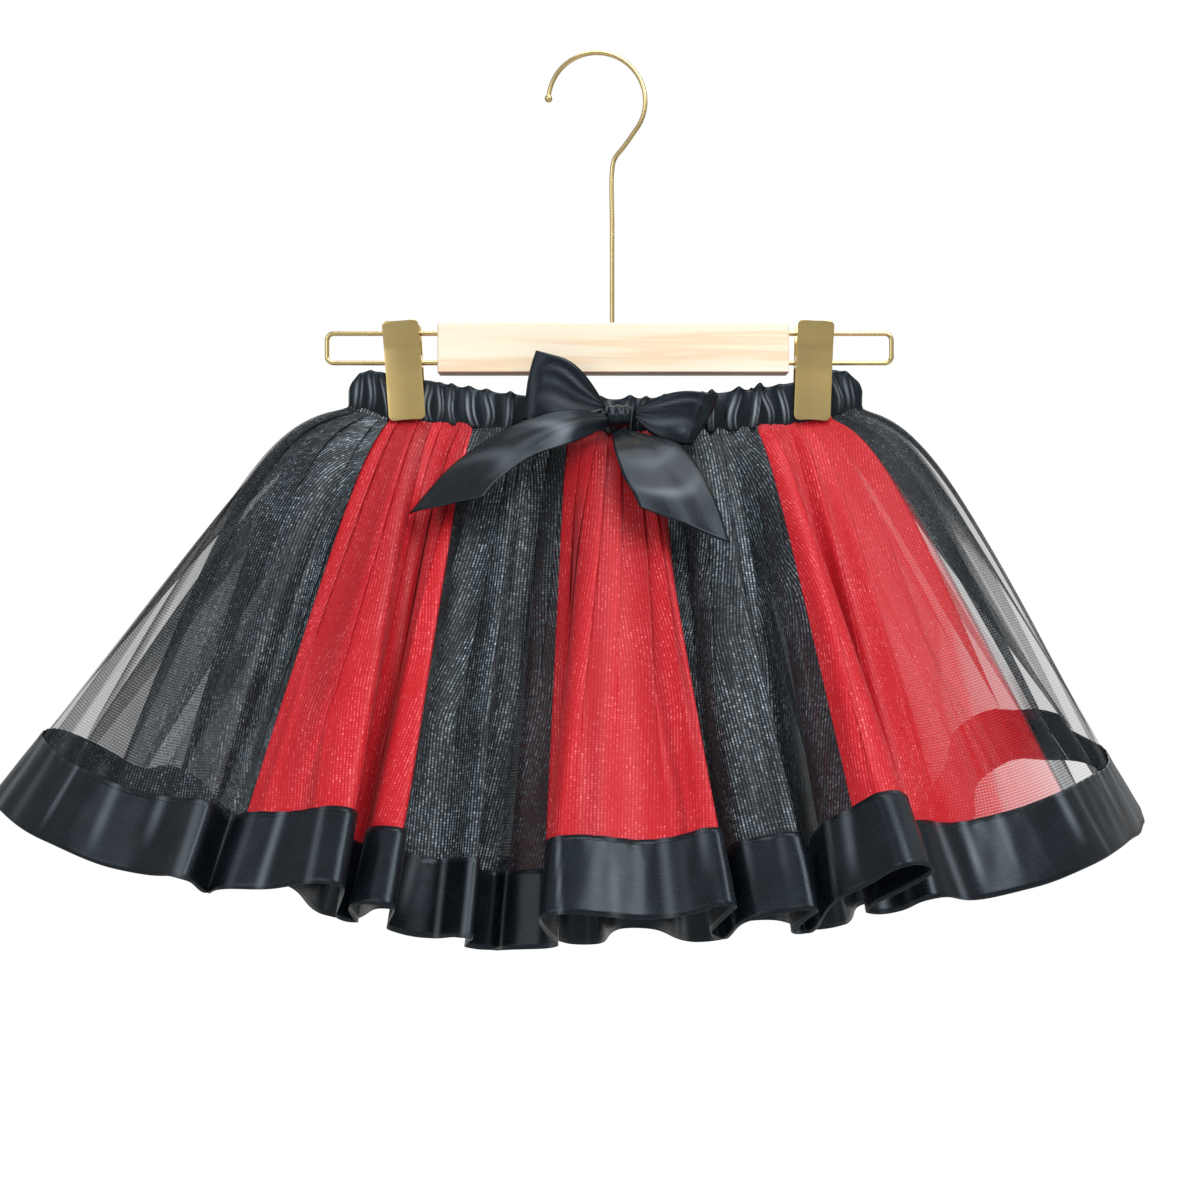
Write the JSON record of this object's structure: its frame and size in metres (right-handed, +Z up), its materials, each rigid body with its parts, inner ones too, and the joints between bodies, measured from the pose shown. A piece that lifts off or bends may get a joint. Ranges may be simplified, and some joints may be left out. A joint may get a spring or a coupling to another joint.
{
  "type": "tutu skirt on clip hanger",
  "caption": "Gathered child's tulle skirt with satin waistband, bow and hem ribbon, clipped by its waist to a wooden bar hanger with wire rails, pinch clips and a swan-neck hook.",
  "frame": {"origin": "inside top of the hanger's hook, where a rod or wall hook carries it", "axes": "+X to the viewer's right along the hanger bar, +Y away from the skirt's front towards the wall, +Z up"},
  "size_m": [0.5982, 0.2102, 0.4708],
  "materials": {
    "black_tulle": "matt sparkling net",
    "red_tulle": "matt sparkling net",
    "black_satin": "satin",
    "brass_plate": "brushed",
    "gilt_wire": "polished",
    "pine": "sanded"
  },
  "bodies": {
    "root": {"waistband": "black_satin", "tulle_black_left_front": "black_tulle", "tulle_red_front_left": "red_tulle", "tulle_black_front_left": "black_tulle", "tulle_red_front_middle": "red_tulle", "tulle_black_front_right": "black_tulle", "tulle_red_front_right": "red_tulle", "tulle_black_right": "black_tulle", "tulle_red_back_right": "red_tulle", "tulle_black_back_right": "black_tulle", "tulle_red_back_middle": "red_tulle", "tulle_black_back_left": "black_tulle", "tulle_red_back_left": "red_tulle", "tulle_black_left_back": "black_tulle", "hem_ribbon_front": "black_satin", "hem_ribbon_back": "black_satin", "bow_loop_left": "black_satin", "bow_loop_right": "black_satin", "bow_tail_left": "black_satin", "bow_tail_right": "black_satin", "bow_knot": "black_satin", "hanger_bar": "pine", "hanger_hook": "gilt_wire", "hanger_rail_left": "gilt_wire", "hanger_rail_right": "gilt_wire", "clip_left_front": "brass_plate", "clip_left_back": "brass_plate", "clip_left_spring": "gilt_wire", "clip_right_front": "brass_plate", "clip_right_back": "brass_plate", "clip_right_spring": "gilt_wire"}
  },
  "joints": []
}
